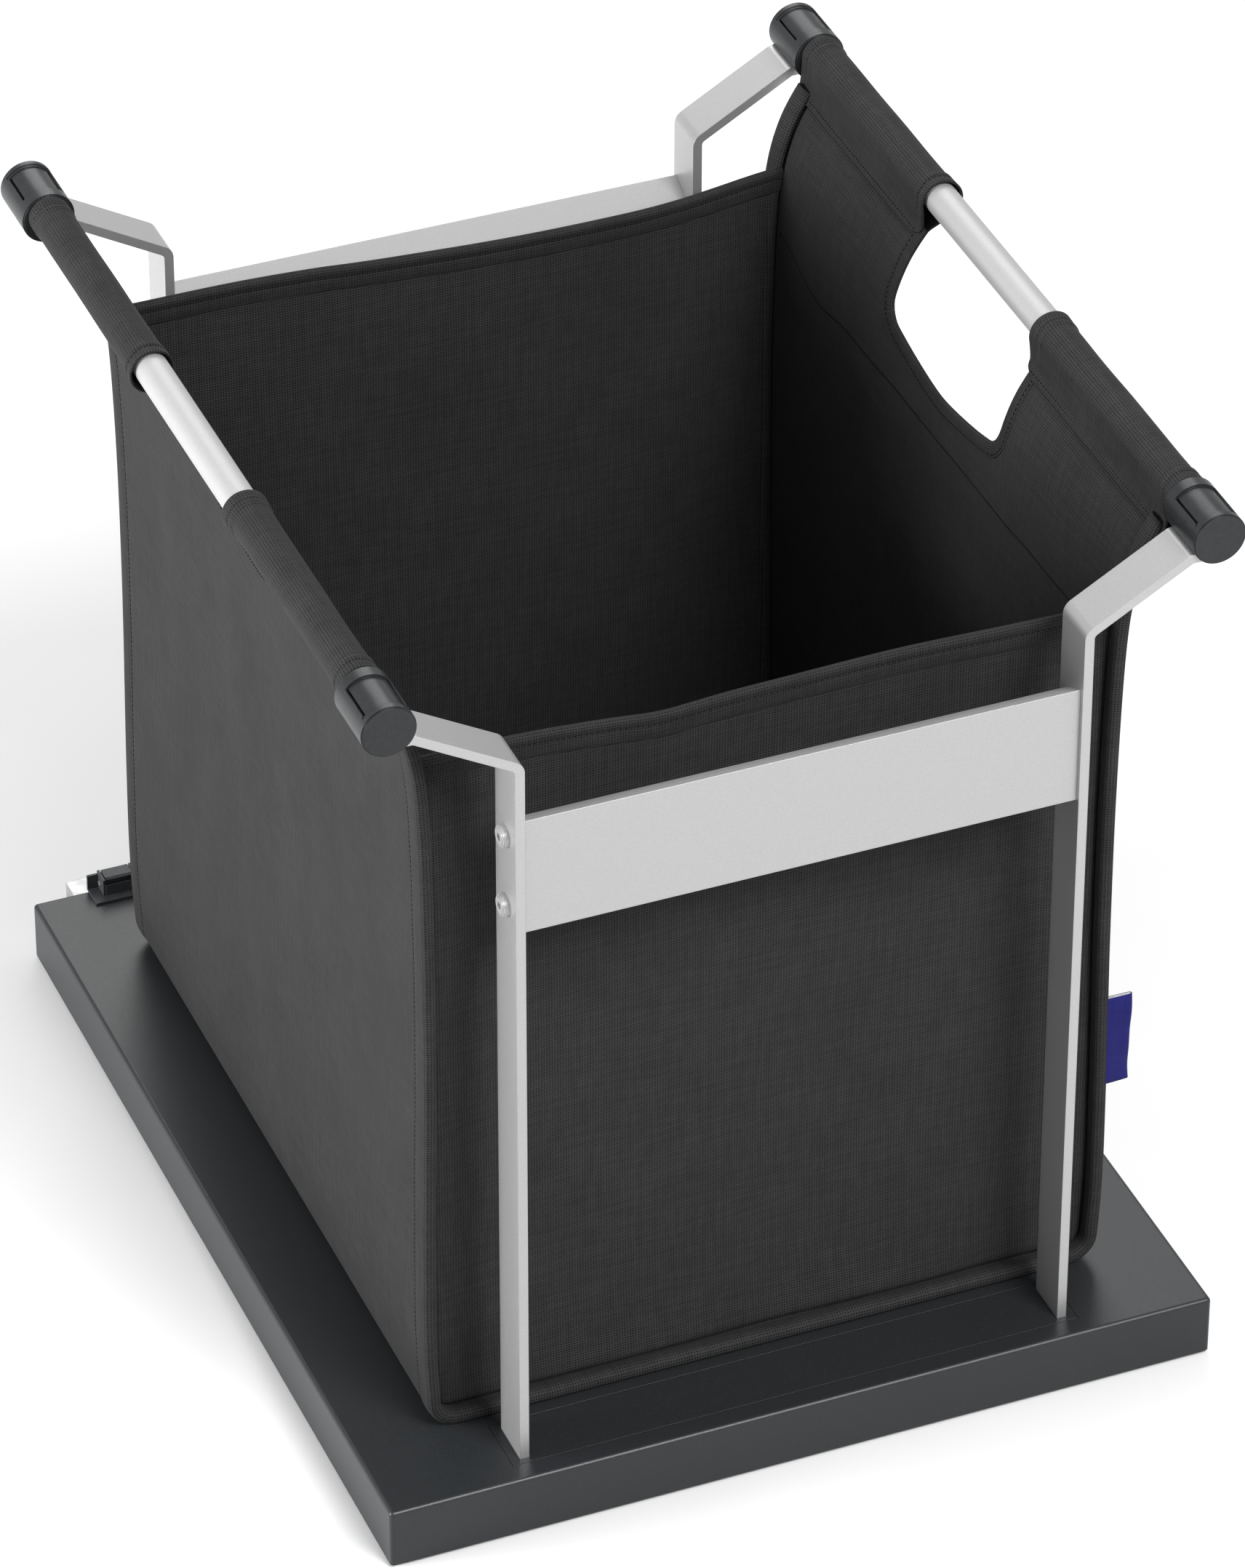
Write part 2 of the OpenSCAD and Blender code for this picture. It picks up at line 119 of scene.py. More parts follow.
class Finish:
    """A procedural material: nodes are added round one Principled shader."""

    def __init__(self, name, roughness, metallic=0.0, **sockets):
        self.material = bpy.data.materials.new(name)
        self.material.use_nodes = True
        self.tree = self.material.node_tree
        self.shader = self.tree.nodes["Principled BSDF"]
        self.shader.inputs["Roughness"].default_value = roughness
        self.shader.inputs["Metallic"].default_value = metallic
        for socket, value in sockets.items():
            self.shader.inputs[socket.replace("_", " ")].default_value = value
        self.normal = None

    def node(self, kind, **settings):
        made = self.tree.nodes.new("ShaderNode" + kind)
        for key, value in settings.items():
            setattr(made, key, value)
        return made

    def join(self, source, target):
        self.tree.links.new(source, target)

    def place(self, stretch=(1, 1, 1), uv=False):
        """Coordinates in metres, on the object or on its cloth map, stretched along the axes."""
        if uv:
            source = self.node("UVMap", uv_map=CLOTH_UV).outputs["UV"]
        else:
            source = self.node("TexCoord").outputs["Object"]
        mapping = self.node("Mapping")
        mapping.inputs["Scale"].default_value = stretch
        self.join(source, mapping.inputs["Vector"])
        return mapping.outputs["Vector"]

    def noise(self, scale, detail=3, stretch=(1, 1, 1), uv=False):
        made = self.node("TexNoise")
        made.inputs["Scale"].default_value = scale
        made.inputs["Detail"].default_value = detail
        self.join(self.place(stretch, uv), made.inputs["Vector"])
        return made.outputs["Fac"]

    def spread(self, value, low, high, out_low=0.0, out_high=1.0):
        made = self.node("MapRange")
        for socket, number in zip(("From Min", "From Max", "To Min", "To Max"),
                                  (low, high, out_low, out_high)):
            made.inputs[socket].default_value = number
        self.join(value, made.inputs["Value"])
        return made.outputs["Result"]

    def math(self, operation, *values):
        made = self.node("Math", operation=operation)
        for socket, value in zip(made.inputs, values):
            if isinstance(value, (int, float)):
                socket.default_value = value
            else:
                self.join(value, socket)
        return made.outputs["Value"]

    def mix(self, factor, first, second):
        made = self.node("Mix", data_type="RGBA")
        self.join(factor, made.inputs["Factor"])
        for socket, value in ((made.inputs[6], first), (made.inputs[7], second)):
            if isinstance(value, tuple):
                socket.default_value = (*value, 1.0)
            else:
                self.join(value, socket)
        return made.outputs[2]

    def mottle(self, dark, light, scale, detail=3, stretch=(1, 1, 1), uv=False):
        factor = self.spread(self.noise(scale, detail, stretch, uv), 0.35, 0.65)
        return self.mix(factor, dark, light)

    def colour(self, value):
        self.join(value, self.shader.inputs["Base Color"])

    def rough(self, value):
        self.join(value, self.shader.inputs["Roughness"])

    def rounded(self, radius):
        """Softens the look of sharp edges."""
        made = self.node("Bevel", samples=4)
        made.inputs["Radius"].default_value = radius
        self.normal = made.outputs["Normal"]
        self.join(self.normal, self.shader.inputs["Normal"])

    def bump(self, height, distance, strength=1.0):
        made = self.node("Bump")
        made.inputs["Distance"].default_value = distance
        made.inputs["Strength"].default_value = strength
        self.join(height, made.inputs["Height"])
        if self.normal is not None:
            self.join(self.normal, made.inputs["Normal"])
        self.normal = made.outputs["Normal"]
        self.join(self.normal, self.shader.inputs["Normal"])


def metal(name, level, roughness, grain=1500, edge=0.5, depth=0.004, shine=0.6, spread=0.035):
    """Satin metal with an even, fine grain, as blasted and anodised aluminium has."""
    made = Finish(name, roughness, metallic=shine)
    made.colour(made.mottle(grey(level * (1 - spread)), grey(level * (1 + spread)), grain, 2))
    spots = made.noise(grain * 1.3, 2)
    made.rough(made.spread(spots, 0.3, 0.7, roughness - 0.05, roughness + 0.05))
    made.rounded(edge * MM)
    made.bump(spots, depth * MM)
    return made.material


def plastic(name, dark, light, roughness, grain=1400, edge=0.35, depth=0.02, level=0.5):
    made = Finish(name, roughness, Specular_IOR_Level=level)
    made.colour(made.mottle(dark, light, grain * 0.4, 4))
    spots = made.noise(grain, 2)
    made.rough(made.spread(spots, 0.3, 0.7, roughness - 0.05, roughness + 0.07))
    made.rounded(edge * MM)
    made.bump(spots, depth * MM)
    return made.material


def cloth(name, thread, gap, pitch=1.28, roughness=0.7):
    """Open plain weave: one small gap for each crossing, with uneven threads that wander a little."""
    made = Finish(name, roughness, Sheen_Weight=0.02, Sheen_Roughness=0.4, Specular_IOR_Level=0.08)
    turns = 2 * math.pi / (pitch * MM)
    wander = 0.6
    split = made.node("SeparateXYZ")
    made.join(made.place((turns, turns, 1), uv=True), split.inputs["Vector"])
    wander_u = made.spread(made.noise(330, 2, (1, 0.5, 1), uv=True), 0.3, 0.7, -wander, wander)
    wander_v = made.spread(made.noise(290, 2, (0.5, 1, 1), uv=True), 0.3, 0.7, -wander, wander)
    wave_u = made.math("COSINE", made.math("ADD", split.outputs["X"], wander_u))
    wave_v = made.math("COSINE", made.math("ADD", split.outputs["Y"], wander_v))
    crossing = made.math("MULTIPLY_ADD", wave_u, 0.85, wave_v)
    hole = made.spread(crossing, 0.35, 1.35)
    bright = tuple(1.18 * channel for channel in thread)
    dull = tuple(0.82 * channel for channel in thread)
    weft = made.mottle(dull, bright, 420, 2, (0.1, 1, 1), uv=True)
    warp = made.mottle(dull, bright, 420, 2, (1, 0.1, 1), uv=True)
    fibre = made.noise(2600, 2, uv=True)
    threads = made.mix(made.spread(fibre, 0.4, 0.6), weft, warp)
    cloudy = made.mottle((0.94, 0.94, 0.94), (1.06, 1.06, 1.06), 18, 3, uv=True)
    tinted = made.node("Mix", data_type="RGBA", blend_type="MULTIPLY")
    tinted.inputs["Factor"].default_value = 1.0
    made.join(threads, tinted.inputs[6])
    made.join(cloudy, tinted.inputs[7])
    made.colour(made.mix(hole, tinted.outputs[2], gap))
    raised = made.math("MULTIPLY_ADD", crossing, -0.4, fibre)
    made.bump(raised, 0.12 * MM, 0.7)
    return made.material


def thread_finish(name, dark, light):
    made = Finish(name, 0.8, Specular_IOR_Level=0.05)
    made.colour(made.mottle(dark, light, 3000, 2))
    made.bump(made.noise(6000, 2), 0.03 * MM)
    return made.material


def grey(level, tint=0.0):
    """A grey, with a blue cast when it has a tint."""
    return (level * (1 - tint), level, level * (1 + tint))


def finish_cad():
    """Gives every CAD node its finish."""
    slate = 0.1
    bar = metal("bar_aluminium", 0.4, 0.38, shine=0.7, spread=0.05)
    rail = metal("rail_aluminium", 0.38, 0.45)
    tube = metal("tube_aluminium", 0.34, 0.5, edge=0.3, shine=0.35)
    zinc = metal("galvanised_steel", 0.36, 0.4, grain=160, shine=0.9, spread=0.14)
    steel = metal("bright_steel", 0.46, 0.34, shine=0.9, spread=0.06)
    screw = metal("screw_steel", 0.42, 0.4, edge=0.1, depth=0.001, shine=0.6)
    paint = plastic("tray_paint", grey(0.014, slate), grey(0.017, slate), 0.36, grain=2200, level=0.34)
    strip = plastic("inlay_plastic", grey(0.013, slate), grey(0.016, slate), 0.4, grain=2200, level=0.34)
    cap = plastic("cap_plastic", grey(0.011, slate), grey(0.015, slate), 0.33, level=0.3)
    black = plastic("black_plastic", grey(0.026, slate), grey(0.034, slate), 0.5, level=0.3)
    lever = plastic("lever_plastic", grey(0.034, slate), grey(0.044, slate), 0.5, level=0.3)
    rubber = plastic("stop_rubber", grey(0.012), grey(0.02), 0.7)
    board = plastic("board_plastic", grey(0.018), grey(0.028), 0.6)
    ends = ("front_", "rear_")
    sides = ("left_", "right_")
    finishes = [
        (bar, [end + side + "post" for end in ends for side in sides] + ["front_foot_bar", "rear_foot_bar"]),
        (rail, ["front_rail", "rear_rail"]),
        (tube, ["left_tube", "right_tube"]),
        (zinc, ["left_cabinet_rail", "right_cabinet_rail", "rear_tie_plate"]),
        (steel, [side + name for side in sides for name in (
            "middle_rail", "drawer_rail", "outer_cage", "inner_cage", "catch_pin")]),
        (screw, ["front_rail_screws", "rear_rail_screws", "foot_screws", "runner_screws"]),
        (paint, ["base_tray"]),
        (strip, ["front_inlay", "rear_inlay"]),
        (cap, [end + side + "cap" for end in ends for side in sides]),
        (black, ["left_catch_bracket", "right_catch_bracket"]),
        (lever, ["left_catch_lever", "right_catch_lever"]),
        (rubber, ["left_end_stop", "right_end_stop"]),
        (board, ["bottom_board"]),
    ]
    for material, names in finishes:
        for name in names:
            slots = nodes[name].material_slots
            if not slots:
                nodes[name].data.materials.append(material)
            for slot in slots:
                slot.material = material


# ---- Mesh building ----


def add_piece(name, mesh, material):
    """Puts a smooth mesh in the scene as a piece that rides on the bag."""
    mesh.polygons.foreach_set("use_smooth", [True] * len(mesh.polygons))
    mesh.materials.append(material)
    piece = bpy.data.objects.new(name, mesh)
    scene.collection.objects.link(piece)
    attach(piece, "bag")
    return piece


def grid_mesh(name, points, uv, tube=False, keep=None):
    """Quads over rows and columns of points. A tube closes on itself and has both ends filled."""
    rows, cols = points.shape[:2]
    faces = []
    corners = []
    for r in range(rows if tube else rows - 1):
        for c in range(cols - 1):
            if keep is not None and not keep[r, c]:
                continue
            quad = ((r, c), (r, c + 1), (r + 1, c + 1), (r + 1, c))
            faces.append([(a % rows) * cols + b for a, b in quad])
            corners.extend(uv[a, b] for a, b in quad)
    if tube:
        for c in (0, cols - 1):
            faces.append([r * cols + c for r in range(rows)])
            corners.extend(uv[r, c] for r in range(rows))
    mesh = bpy.data.meshes.new(name)
    mesh.from_pydata(points.reshape(-1, 3).tolist(), [], faces)
    layer = mesh.uv_layers.new(name=CLOTH_UV)
    layer.data.foreach_set("uv", np.array(corners, np.float32).ravel())
    build = bmesh.new()
    build.from_mesh(mesh)
    bmesh.ops.delete(build, geom=[v for v in build.verts if not v.link_faces], context="VERTS")
    if tube:
        bmesh.ops.recalc_face_normals(build, faces=build.faces)
    build.to_mesh(mesh)
    build.free()
    return mesh


def lengths(line):
    """Distance along a line of points, from its start."""
    steps = np.linalg.norm(np.diff(line, axis=0), axis=1)
    return np.concatenate([[0.0], np.cumsum(steps)])


def along(line, run, distance):
    """The value at a distance along a line whose points lie at the distances in run."""
    return np.array([np.interp(distance, run, line[:, k]) for k in range(line.shape[1])])


def resample(line, step):
    """The same line with even spacing of about step."""
    run = lengths(line)
    count = max(2, int(round(run[-1] / step)) + 1)
    even = np.linspace(0, run[-1], count)
    return np.stack([np.interp(even, run, line[:, k]) for k in range(line.shape[1])], 1)


def soften(line, rounds=2):
    """Cuts the corners of an open line."""
    for _ in range(rounds):
        near = 0.75 * line[:-1] + 0.25 * line[1:]
        far = 0.25 * line[:-1] + 0.75 * line[1:]
        middle = np.stack([near, far], 1).reshape(-1, line.shape[1])
        line = np.concatenate([line[:1], middle[1:-1], line[-1:]])
    return line


def sweep(name, path, across, out, section):
    """A closed strip: a section of (across, out) distances carried along a path."""
    points = (path[None] + section[:, 0, None, None] * across[None]
              + section[:, 1, None, None] * out[None])
    round_it = lengths(np.concatenate([section, section[:1]]))
    uv = np.zeros((len(section) + 1, len(path), 2))
    uv[:, :, 0] = lengths(path)[None]
    uv[:, :, 1] = round_it[:, None]
    return grid_mesh(name, points, uv, tube=True)


def units(vectors):
    """The vectors, each with a length of one."""
    return vectors / np.linalg.norm(vectors, axis=1, keepdims=True)


STITCH_PITCH = 2.6 * MM
STITCH_LENGTH = 1.7 * MM
STITCH_WIDTH = 0.5 * MM
STITCH_HEIGHT = 0.4 * MM
STITCH_DIP = 0.15 * MM
STITCH_SIDES = 6


def stitch_verts(centre, ahead, up):
    """One stitch: a point that dips into the cloth, two rings of thread and another point."""
    across = np.cross(ahead, up)
    verts = [centre - ahead * STITCH_LENGTH / 2 - up * STITCH_DIP]
    for shift in (-0.32, 0.32):
        for angle in np.arange(STITCH_SIDES) * 2 * math.pi / STITCH_SIDES:
            verts.append(centre + ahead * shift * STITCH_LENGTH
                         + across * math.cos(angle) * STITCH_WIDTH / 2
                         + up * math.sin(angle) * STITCH_HEIGHT / 2)
    verts.append(centre + ahead * STITCH_LENGTH / 2 - up * STITCH_DIP)
    return verts


def stitch_faces(first):
    """The faces of the stitch whose points start at a number."""
    near = first + 1
    far = near + STITCH_SIDES
    last = far + STITCH_SIDES
    faces = []
    for k in range(STITCH_SIDES):
        n = (k + 1) % STITCH_SIDES
        faces.append((first, near + n, near + k))
        faces.append((near + k, near + n, far + n, far + k))
        faces.append((last, far + k, far + n))
    return faces


def stitches(name, rows, material):
    """Thread laid in short raised stitches. Each row is a path and the directions out of the cloth."""
    verts = []
    faces = []
    step = 0.3 * MM
    for path, out in rows:
        run = lengths(path)
        for start in np.arange(STITCH_PITCH / 2, run[-1], STITCH_PITCH):
            centre = along(path, run, start)
            ahead = along(path, run, start + step) - centre
            if np.linalg.norm(ahead) < 1e-7:
                continue
            ahead /= np.linalg.norm(ahead)
            faces += stitch_faces(len(verts))
            verts += stitch_verts(centre, ahead, along(out, run, start))
    mesh = bpy.data.meshes.new(name)
    mesh.from_pydata([tuple(v) for v in verts], [], faces)
    return add_piece(name, mesh, material)


def thicken(piece, thickness):
    """Gives cloth its thickness, half on each side."""
    solid = piece.modifiers.new("cloth", "SOLIDIFY")
    solid.thickness = thickness
    solid.offset = 0
    solid.use_even_offset = True
    return solid


# ---- The bag's measures, from the CAD frame ----

CLOTH = 1.2 * MM
CORNER = 14 * MM
floor_low, floor_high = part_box("bag_bottom")
rim_low, rim_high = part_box("front_rim")
tube_low, tube_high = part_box("right_tube")
HALF_W = floor_high.x + CORNER
FLOOR_Z = floor_low.z
FRONT = rim_low.y
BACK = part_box("rear_rim")[1].y
MID_Y = (FRONT + BACK) / 2
RIM_REACH = rim_high.y - rim_low.y
RIM_LIP = 4 * MM
HEM_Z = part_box("bag_front_panel")[1].z
TUBE_X = (tube_low.x + tube_high.x) / 2
TUBE_Z = (tube_low.z + tube_high.z) / 2
TUBE_R = (tube_high.z - tube_low.z) / 2
SLEEVE_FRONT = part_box("right_front_sleeve")[0].y
SLEEVE_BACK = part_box("right_rear_sleeve")[1].y
# The rear sleeves' hems reach this much further forward than the CAD sleeves.
SLEEVE_CREEP = 1.2 * MM
GAP_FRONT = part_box("right_front_sleeve")[1].y
GAP_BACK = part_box("right_rear_sleeve")[0].y - SLEEVE_CREEP
HAND_Y = (GAP_FRONT + GAP_BACK) / 2
GAP_HALF = (GAP_BACK - GAP_FRONT) / 2

# How far the side stands out beyond its half width, and how high above the floor, in
# millimetres: slack low down, drawn in at the middle, and pulled out to the tube at the top.
SIDE_LINE = [
    (0.6, 14), (2.4, 45), (1.6, 120), (0.0, 220), (0.6, 300),
    (2.2, 346), (5.2, 368), (10.2, 384), (15.4, 394), (19.9, 401),
]
SIDE_START = SIDE_LINE[0][0] * MM
SIDE_TOP = FLOOR_Z + SIDE_LINE[-1][1] * MM


class Profile:
    """The bag's outline in X and Z from the middle of the floor up the right side."""

    def __init__(self):
        flat = [(x, FLOOR_Z) for x in np.linspace(0, HALF_W - CORNER, 30)]
        bend = [(HALF_W - CORNER + (CORNER + SIDE_START) * math.sin(a), FLOOR_Z + CORNER * (1 - math.cos(a)))
                for a in np.linspace(0, math.pi / 2, 14)[1:]]
        side = np.array([(HALF_W + out * MM, FLOOR_Z + up * MM) for out, up in SIDE_LINE])
        line = np.concatenate([flat, bend, soften(side, 3)[1:]])
        self.line = resample(line, 1 * MM)
        self.run = lengths(self.line)
        self.top = self.run[-1]
        ahead = units(np.gradient(self.line, axis=0))
        self.out = np.stack([ahead[:, 1], -ahead[:, 0]], 1)

    def at(self, length):
        """Point and outward direction at a distance along the outline."""
        out = along(self.out, self.run, length)
        return along(self.line, self.run, length), out / np.linalg.norm(out)

    def length_at(self, height):
        """Distance along the outline at which the side reaches a height."""
        side = self.run > HALF_W - CORNER
        return np.interp(height, self.line[side, 1], self.run[side])


profile = Profile()


SLACK_DEPTH = 2.2 * MM
SLACK_FADE = 60 * MM
SLACK_TOP_FADE = 90 * MM


def slack(length, y):
    """Slow waves of the cloth, which fade out at the floor and fade at the tubes and the edges."""
    side = min(max((abs(length) - HALF_W) / SLACK_FADE, 0), 1)
    top = min(max((profile.top - abs(length)) / SLACK_TOP_FADE, 0.25), 1)
    edge = min(max(min(y - FRONT, BACK - y) / SLACK_FADE, 0.15), 1)
    broad = noise.noise(Vector((length * 7, y * 9, 3.1)))
    fine = noise.noise(Vector((length * 17, y * 30, 8.7)))
    return side * top * edge * (broad + 0.4 * fine) * SLACK_DEPTH


def on_side(length, y, depth=0.0):
    """A point on the band of cloth. Negative lengths are on the left; depth goes inwards."""
    point, out = profile.at(abs(length))
    point = point + out * (slack(length, y) - depth)
    return np.array([math.copysign(point[0], length), y, point[1]])


def out_of_side(length):
    """The direction out of the band of cloth."""
    out = profile.at(abs(length))[1]
    return np.array([math.copysign(out[0], length), 0.0, out[1]])


# ---- The hand holes ----

HOLE_HALF = GAP_HALF + 0.2 * MM
HOLE_BOTTOM = FLOOR_Z + 348.6 * MM
HOLE_SAG = 7.6 * MM
HOLE_CORNER = 12 * MM
HOLE_CORNER_Z = HOLE_BOTTOM + HOLE_SAG + 11.5 * MM
HOLE_CORNER_Y = HOLE_HALF - HOLE_CORNER
HOLE_TURN = math.radians(74)
HOLE_LEAN = 1.2 * MM
HOLE_SLOPE = 0.1


def hole_lean(z):
    """How far a hand hole leans back at a height: its upper part stands further forward."""
    return min(HOLE_SLOPE * (HOLE_CORNER_Z + 9 * MM - z), HOLE_LEAN)


def hole_edge(across):
    """Height of a hand hole's lower edge at a distance from its middle."""
    if across > HOLE_CORNER_Y + HOLE_CORNER * math.cos(HOLE_TURN):
        return HOLE_CORNER_Z - math.sqrt(max(HOLE_CORNER ** 2 - (across - HOLE_CORNER_Y) ** 2, 0))
    share = across / (HOLE_CORNER_Y + HOLE_CORNER * math.cos(HOLE_TURN))
    return HOLE_BOTTOM + HOLE_SAG * share ** 1.7


def hole_outline():
    """One hand hole from the front sleeve's seam down, along and up to the rear one, as (y, z)."""
    bend = [(HOLE_CORNER_Y + HOLE_CORNER * math.cos(a), HOLE_CORNER_Z - HOLE_CORNER * math.sin(a))
            for a in np.linspace(0, HOLE_TURN, 12)]
    sag = [(across, hole_edge(across)) for across in np.linspace(bend[-1][0], 0, 24)[1:]]
    half = np.array([(HOLE_HALF, SIDE_TOP), *bend, *sag])
    line = resample(np.concatenate([half * (-1, 1), half[::-1][1:]]), 2 * MM)
    line[:, 0] += HAND_Y + np.array([hole_lean(z) for z in line[:, 1]])
    return line


hole_line = hole_outline()


def outside_hole(y, z):
    """Distance from a point to the hole's outline, negative inside the hole."""
    near = np.hypot(hole_line[:, 0] - y, hole_line[:, 1] - z).min()
    across = abs(y - HAND_Y - hole_lean(z))
    inside = across < HOLE_HALF and z > hole_edge(across)
    return -near if inside else near


def stations(*spans):
    """Even stops through several spans of (start, end, step)."""
    stops = []
    for start, end, step in spans:
        count = max(1, int(round((end - start) / step)))
        stops.extend(np.linspace(start, end, count + 1)[:-1])
    return np.array(stops + [spans[-1][1]])


# ---- Pieces of the bag ----

# The rims' stitch line from the bag's ends, and the plain cloth's depth in millimetres.
BAND_STITCH_Y = 12.8 * MM
BAND_DEPTH = 0.6
HAND_ZONE = 70 * MM


def band_columns():
    """Stops across the band as (y, depth): the folded edge, its stitch line and the plain cloth."""
    inner = [(10.4, 2.2), (9.9, 3.3), (8.6, 4.4), (6.4, 5.2), (4.0, 5.5), (2.4, 5.4)]
    edge = [(1.3, 4.9), (0.75, 4.1), (0.6, 3.1), (0.62, 2.1), (0.85, 1.25), (1.4, 0.7)]
    swell = [(2.4, 0.4), (4.4, 0.15), (7, 0.05), (9.5, 0.1), (11.2, 0.35), (12.2, 0.7)]
    seam = [(BAND_STITCH_Y / MM, 0.9), (13.6, 0.7), (15.4, BAND_DEPTH)]
    start = [(y * MM, depth * MM) for y, depth in inner + edge + swell + seam]
    front = [(FRONT + y, depth) for y, depth in start]
    rear = [(BACK - y, depth) for y, depth in reversed(start)]
    plain = stations((front[-1][0], MID_Y - HAND_ZONE, 6 * MM),
                     (MID_Y - HAND_ZONE, MID_Y + HAND_ZONE, 4 * MM),
                     (MID_Y + HAND_ZONE, rear[0][0], 6 * MM))[1:-1]
    return front + [(y, BAND_DEPTH * MM) for y in plain] + rear


def make_band(weave):
    """The bag's left side, floor and right side in one length, with the hand holes cut out."""
    columns = band_columns()
    bend_start = HALF_W - CORNER
    bend_end = bend_start + 24 * MM
    flare = profile.length_at(FLOOR_Z + 330 * MM)
    top = profile.top - 1.5 * MM
    half = stations((0, bend_start, 12 * MM), (bend_start, bend_end, 2 * MM),
                    (bend_end, flare, 7 * MM), (flare, top, 3.5 * MM))
    rows = np.concatenate([-half[::-1], half[1:]])
    points = np.array([[on_side(row, y, depth) for y, depth in columns] for row in rows])
    across = lengths(np.array(columns))
    uv = np.stack(np.meshgrid(across, rows), -1)
    clear = np.array([[abs(row) <= flare or outside_hole(y, profile.at(abs(row))[0][1]) > 1 * MM
                       for y, _ in columns] for row in rows])
    keep = clear[:-1, :-1] & clear[1:, :-1] & clear[:-1, 1:] & clear[1:, 1:]
    band = add_piece("bag_band", grid_mesh("bag_band", points, uv, keep=keep), weave)
    thicken(band, CLOTH)
    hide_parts("bag_left_panel", "bag_right_panel", "bag_bottom", "front_rim", "rear_rim")
    return band, (across[-1], 2 * top)


# Rise of the end walls' upper hems above their CAD height, across the bag, in millimetres.
FRONT_HEM = [(-163, 0), (-110, -1), (-72, -3.4), (-50, -6.1), (-30, -4.9), (-10, -4.1),
             (50, -2.9), (90, -3.1), (163, -3.6)]
REAR_HEM = [(-163, 4), (-110, 4.7), (-70, 4), (-50, 2.4), (-20, 0.7), (20, -0.6), (70, -2.1),
            (105, -1.7), (130, 0.4), (150, 2.6), (163, 3.5)]
HEM_LINES = {end: soften(np.array(rises, float), 3) * MM for end, rises in ((-1, FRONT_HEM), (1, REAR_HEM))}
WALL_INSET = 1.5 * MM


def hem_rise(x, end):
    """How far an end wall's hem stands above its CAD height at a place across the bag."""
    return float(np.interp(x, HEM_LINES[end][:, 0], HEM_LINES[end][:, 1]))


def on_wall(share, length, end):
    """A point on an end wall: share runs from -1 at the left seam to 1 at the right one.

    The wall swells towards the seams and then turns in to a groove behind the rims. Higher up it
    bows inwards, with slow ripples."""
    point, out = profile.at(length)
    half_x, z = point - out * WALL_INSET
    half_x += slack(length, FRONT) * 0.5
    x = share * half_x
    height = (z - FLOOR_Z) / (HEM_Z - FLOOR_Z)
    seam = min(half_x - abs(x), max(z - FLOOR_Z - WALL_INSET, 0))
    free = 1 - height ** 8
    swell = 5.0 * MM * math.exp(-seam / (22 * MM)) * free
    groove = 4.0 * MM * math.exp(-max(seam - RIM_LIP, 0) / (1.5 * MM)) * free
    bow = 3.0 * MM * (1 - share ** 2) * math.sin(math.pi * min(height, 1) * 0.75)
    ripple = 2.4 * MM * noise.noise(Vector((x * 12, z * 7, 5.0 + end))) * (1 - share ** 4)
    rise = hem_rise(x, end) * height ** 4
    edge = FRONT if end < 0 else BACK
    y = edge - end * (RIM_REACH + 0.7 * MM + bow + ripple - swell + groove) + 0.3 * rise
    return np.array([x, y, z + rise])


def make_wall(name, end, weave, node):
    """An end wall, with rows and columns that are closer together beside its seams."""
    start = HALF_W - CORNER
    bend_end = start + 26 * MM
    rows = stations((start, bend_end, 1 * MM), (bend_end, profile.length_at(HEM_Z), 6 * MM))
    from_seam = np.array([0, 2, 3.6, 4.4, 5.2, 6.2, 7.6, 9.6, 12.4]) * MM
    near = 1 - from_seam / HALF_W
    shares = np.concatenate([-near, np.linspace(-0.9, 0.9, 57), near[::-1]])
    points = np.array([[on_wall(s, row, end) for s in shares] for row in rows])
    uv = np.zeros((len(rows), len(shares), 2))
    uv[:, :, 0] = points[:, :, 0]
    uv[:, :, 1] = points[:, :, 2]
    if end < 0:
        points = points[:, ::-1]
        uv = uv[:, ::-1]
    wall = add_piece(name, grid_mesh(name, points, uv), weave)
    thicken(wall, CLOTH)
    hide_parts(node)
    return wall, (2 * HALF_W, HEM_Z - FLOOR_Z)


def both_faces(half, middle=0.0):
    """A closed section from its outer face, given as (across, out) in millimetres."""
    return half + [(across, 2 * middle - out) for across, out in reversed(half[1:])]


HEM_PINCH = 5.4 * MM


def make_wall_hem(name, end, weave):
    """The folded upper edge of an end wall: a roll, its stitch line and the flat lap below."""
    top = profile.length_at(HEM_Z)
    path = np.array([on_wall(s, top, end) for s in np.linspace(-1, 1, 81)])
    path[:, 2] += 0.6 * MM
    across = np.tile([0.0, 0.0, -1.0], (len(path), 1))
    out = np.tile([0.0, float(end), 0.0], (len(path), 1))
    half = [(0.0, 0.0), (0.3, 1.0), (1.0, 1.75), (2.2, 2.15), (3.4, 2.1), (4.6, 1.65), (HEM_PINCH / MM, 1.3),
            (6.2, 1.45), (8.5, 1.6), (11.6, 1.25), (12.6, 0.95), (13, 0.6)]
    section = np.array(both_faces(half)) * MM
    hem = add_piece(name, sweep(name, path, across, out, section), weave)
    rows = []
    for side in (-1, 1):
        line = path + across * HEM_PINCH + out * side * 1.4 * MM
        rows.append((line, out * side))
    return hem, rows


